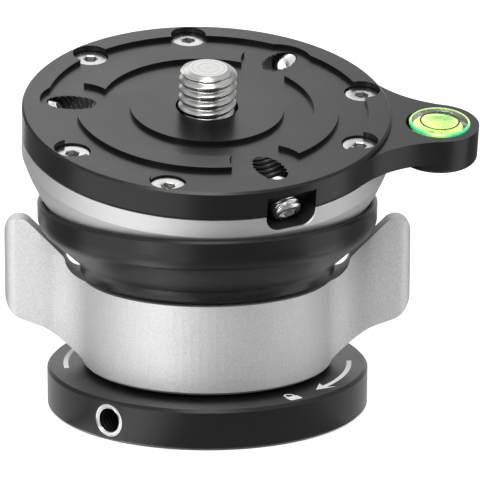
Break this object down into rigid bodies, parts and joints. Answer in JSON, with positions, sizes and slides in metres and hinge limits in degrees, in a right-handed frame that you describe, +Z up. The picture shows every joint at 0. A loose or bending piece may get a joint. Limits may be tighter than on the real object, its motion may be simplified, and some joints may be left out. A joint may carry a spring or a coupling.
{
  "type": "leveling base",
  "caption": "Low leveling base: a round plate with a camera stud and a bubble level on a half ball, which tilts in a cup and is locked by a winged ring on a round foot.",
  "frame": {"origin": "mouth of the tripod socket, at the centre of the base disc's underside", "axes": "+Z up along the column; +X along the clamp ring's wings in the locked position, to the side of the bubble level; +Y away from the picture's viewer"},
  "size_m": [0.0772, 0.0601, 0.0574],
  "materials": {
    "black_anodised": "satin anodised",
    "blasted": "bead-blasted",
    "ball_silver": "satin turned",
    "steel": "stainless, machined",
    "dark_steel": "black oxide",
    "bronze": "plain",
    "white_matt": "matt",
    "level_clear": "clear, greenish",
    "level_liquid": "yellow-green liquid",
    "level_air": "air",
    "level_line": "black print"
  },
  "bodies": {
    "base": {"base_disc": "black_anodised", "tripod_bushing": "steel", "column": "dark_steel", "foot_screws": "steel", "stop_pin": "steel", "column_keys": "steel", "clamp_dome": "dark_steel", "clamp_bolt": "dark_steel", "spring_washer": "steel"},
    "cup_group": {"cup": "black_anodised", "thrust_washer": "bronze"},
    "ring": {"lock_ring": "blasted"},
    "swing": {"slip_washer": "bronze"},
    "tilt": {"glide_ring": "white_matt"},
    "head": {"half_ball": "ball_silver", "top_plate": "black_anodised", "plate_screws": "steel", "camera_stud": "steel", "stud_snap_ring": "dark_steel", "vial_case": "level_clear", "vial_liquid": "level_liquid", "vial_bubble": "level_air", "vial_target": "level_line", "vial_lens": "level_clear"},
    "screw_a": {"set_screw_a": "steel"},
    "screw_b": {"set_screw_b": "steel"},
    "screw_c": {"set_screw_c": "steel"}
  },
  "joints": [
    {"name": "ring_turn", "type": "hinge", "parent": "cup_group", "child": "ring", "pos_m": [0, 0, 0.0148], "axis": [0, 0, 1], "range_deg": [0, 90]},
    {"name": "cup_lift", "type": "slide", "parent": "base", "child": "cup_group", "axis": [0, 0, 1], "range_m": [-0.000395, 0]},
    {"name": "plate_swing", "type": "hinge", "parent": "base", "child": "swing", "pos_m": [0, 0, 0.05162], "axis": [0, 0, 1], "continuous": true},
    {"name": "plate_tilt", "type": "hinge", "parent": "swing", "child": "tilt", "pos_m": [0, 0, 0.05162], "axis": [0.9914, 0.1305, 0], "range_deg": [-28.8, 1.2]},
    {"name": "plate_spin", "type": "hinge", "parent": "tilt", "child": "head", "pos_m": [0, 0, 0.05162], "axis": [0.0311, -0.2365, 0.9711], "continuous": true},
    {"name": "screw_a_run", "type": "slide", "parent": "head", "child": "screw_a", "axis": [0.4185, 0.7947, -0.4396], "range_m": [-0.0048, 0.0002]},
    {"name": "screw_b_run", "type": "slide", "parent": "head", "child": "screw_b", "axis": [-0.8157, 0.18, -0.5497], "range_m": [-0.0048, 0.0002]},
    {"name": "screw_c_run", "type": "slide", "parent": "head", "child": "screw_c", "axis": [0.341, -0.5477, -0.764], "range_m": [-0.0048, 0.0002]}
  ],
  "couplings": [
    {"joint": "cup_lift", "follows": "ring_turn", "m_per_rad": -0.00023873}
  ]
}
